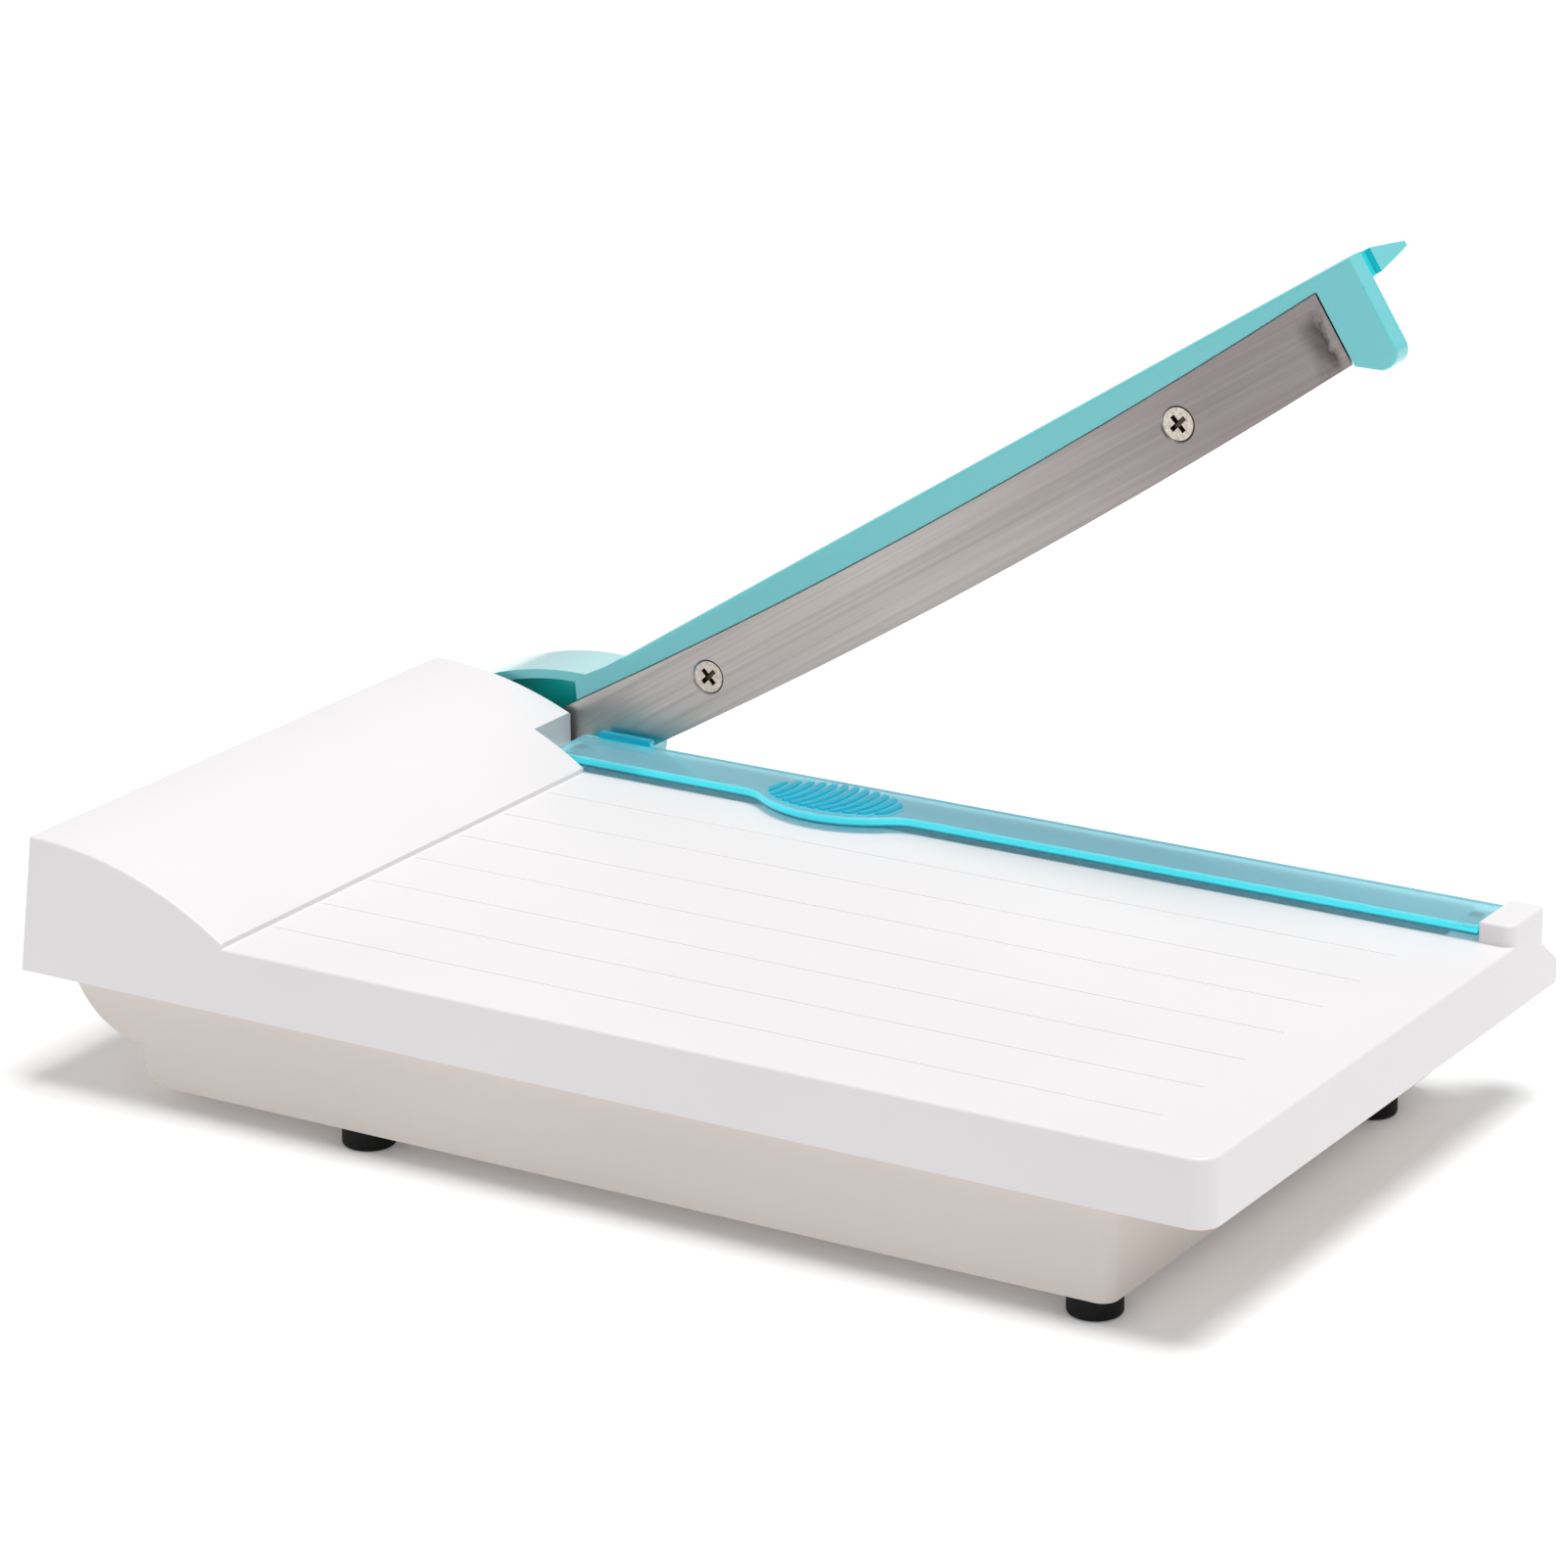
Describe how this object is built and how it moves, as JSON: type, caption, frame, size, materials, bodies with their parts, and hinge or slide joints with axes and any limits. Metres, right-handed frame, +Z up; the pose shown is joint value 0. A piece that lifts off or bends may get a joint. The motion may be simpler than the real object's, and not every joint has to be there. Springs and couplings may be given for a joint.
{
  "type": "lever-arm paper trimmer",
  "caption": "Small guillotine paper trimmer: white table with a raised hump, teal lever with a bowed steel blade, clear blue spring clamp strip.",
  "frame": {"origin": "middle of the footprint of the whole object with its lever raised, on the surface the feet stand on", "axes": "+X along the cutting line from the lever's pivot to its handle end, +Y towards the cutting line, +Z up"},
  "size_m": [0.3238, 0.2072, 0.2026],
  "materials": {
    "casing_white": "fine satin moulding",
    "tray_white": "fine satin moulding",
    "foot_rubber": "matt",
    "zinc_screw": "bright zinc plate",
    "edge_steel": "ground along its length",
    "clamp_blue": "clear blue tint, smooth",
    "lever_teal": "translucent teal, smooth",
    "blade_steel": "brushed along its length",
    "plated_steel": "zinc plate",
    "spring_steel": "drawn wire",
    "bush_brass": "turned"
  },
  "bodies": {
    "base": {"top_casing": "casing_white", "bottom_tray": "tray_white", "casing_screws": "zinc_screw", "foot_front_left": "foot_rubber", "foot_front_right": "foot_rubber", "foot_back_left": "foot_rubber", "foot_back_right": "foot_rubber", "foot_screws": "zinc_screw", "fixed_blade": "edge_steel", "fixed_blade_screws": "zinc_screw", "clamp_spring_left": "spring_steel", "clamp_spring_right": "spring_steel", "pivot_bracket": "plated_steel", "bracket_screws": "zinc_screw", "pivot_bolt": "plated_steel", "thrust_washer": "plated_steel", "spring_washer": "spring_steel", "flat_washer": "plated_steel", "lock_nut": "plated_steel"},
    "lever": {"arm_lever": "lever_teal", "cutting_blade": "blade_steel", "blade_screws": "zinc_screw", "blade_nuts": "plated_steel", "pivot_bush": "bush_brass", "pivot_cap": "lever_teal"},
    "clamp": {"clamp_strip": "clamp_blue", "clamp_washers": "plated_steel", "clamp_screws": "zinc_screw"}
  },
  "joints": [
    {"name": "lever_pivot", "type": "hinge", "parent": "base", "child": "lever", "pos_m": [-0.1304, 0.08445, 0.0348], "axis": [0, -1, 0], "range_deg": [-29, 30]},
    {"name": "clamp_press", "type": "slide", "parent": "base", "child": "clamp", "axis": [0, 0, -1], "range_m": [0, 0.0015], "stiffness_N_per_m": 1200, "springref_m": -0.004, "deforming": ["clamp_spring_left", "clamp_spring_right"]}
  ]
}
